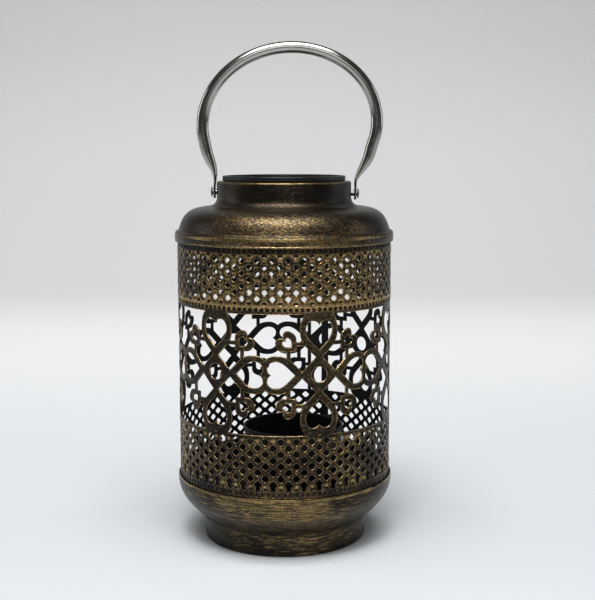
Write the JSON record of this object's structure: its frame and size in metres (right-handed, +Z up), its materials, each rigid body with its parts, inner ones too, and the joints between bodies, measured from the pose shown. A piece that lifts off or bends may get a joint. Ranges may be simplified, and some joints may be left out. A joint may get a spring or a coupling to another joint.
{
  "type": "tealight holder",
  "caption": "Round pierced-metal tealight holder: footed dish, scroll-cut sleeve, domed shoulder with an open neck, loose candle cup and a swinging tube bail.",
  "frame": {"origin": "middle of the foot's underside, on the surface the holder stands on", "axes": "+Z up along the body's axis, +X towards the right-hand rivet, -Y towards the viewer"},
  "size_m": [0.1024, 0.1024, 0.2327],
  "materials": {
    "aged_iron": "near-black brown paint, rubbed with antique gold on the raised edges",
    "black_enamel": "semi-gloss black",
    "satin_steel": "satin stainless"
  },
  "bodies": {
    "lantern": {"base_dish": "aged_iron", "pierced_sleeve": "aged_iron", "dome_and_neck": "aged_iron", "neck_liner": "black_enamel", "rivet_left": "satin_steel", "rivet_right": "satin_steel"},
    "bail": {"bail_handle": "satin_steel"},
    "cup": {"candle_cup": "black_enamel"}
  },
  "joints": [
    {"name": "bail_swing", "type": "hinge", "parent": "lantern", "child": "bail", "pos_m": [0, 0, 0.1633], "axis": [0.9999, 0, -0.014], "range_deg": [-102, 102]},
    {"name": "cup_lift", "type": "slide", "parent": "lantern", "child": "cup", "axis": [-0.0345, 0, 0.9994], "range_m": [0, 0.15]}
  ]
}
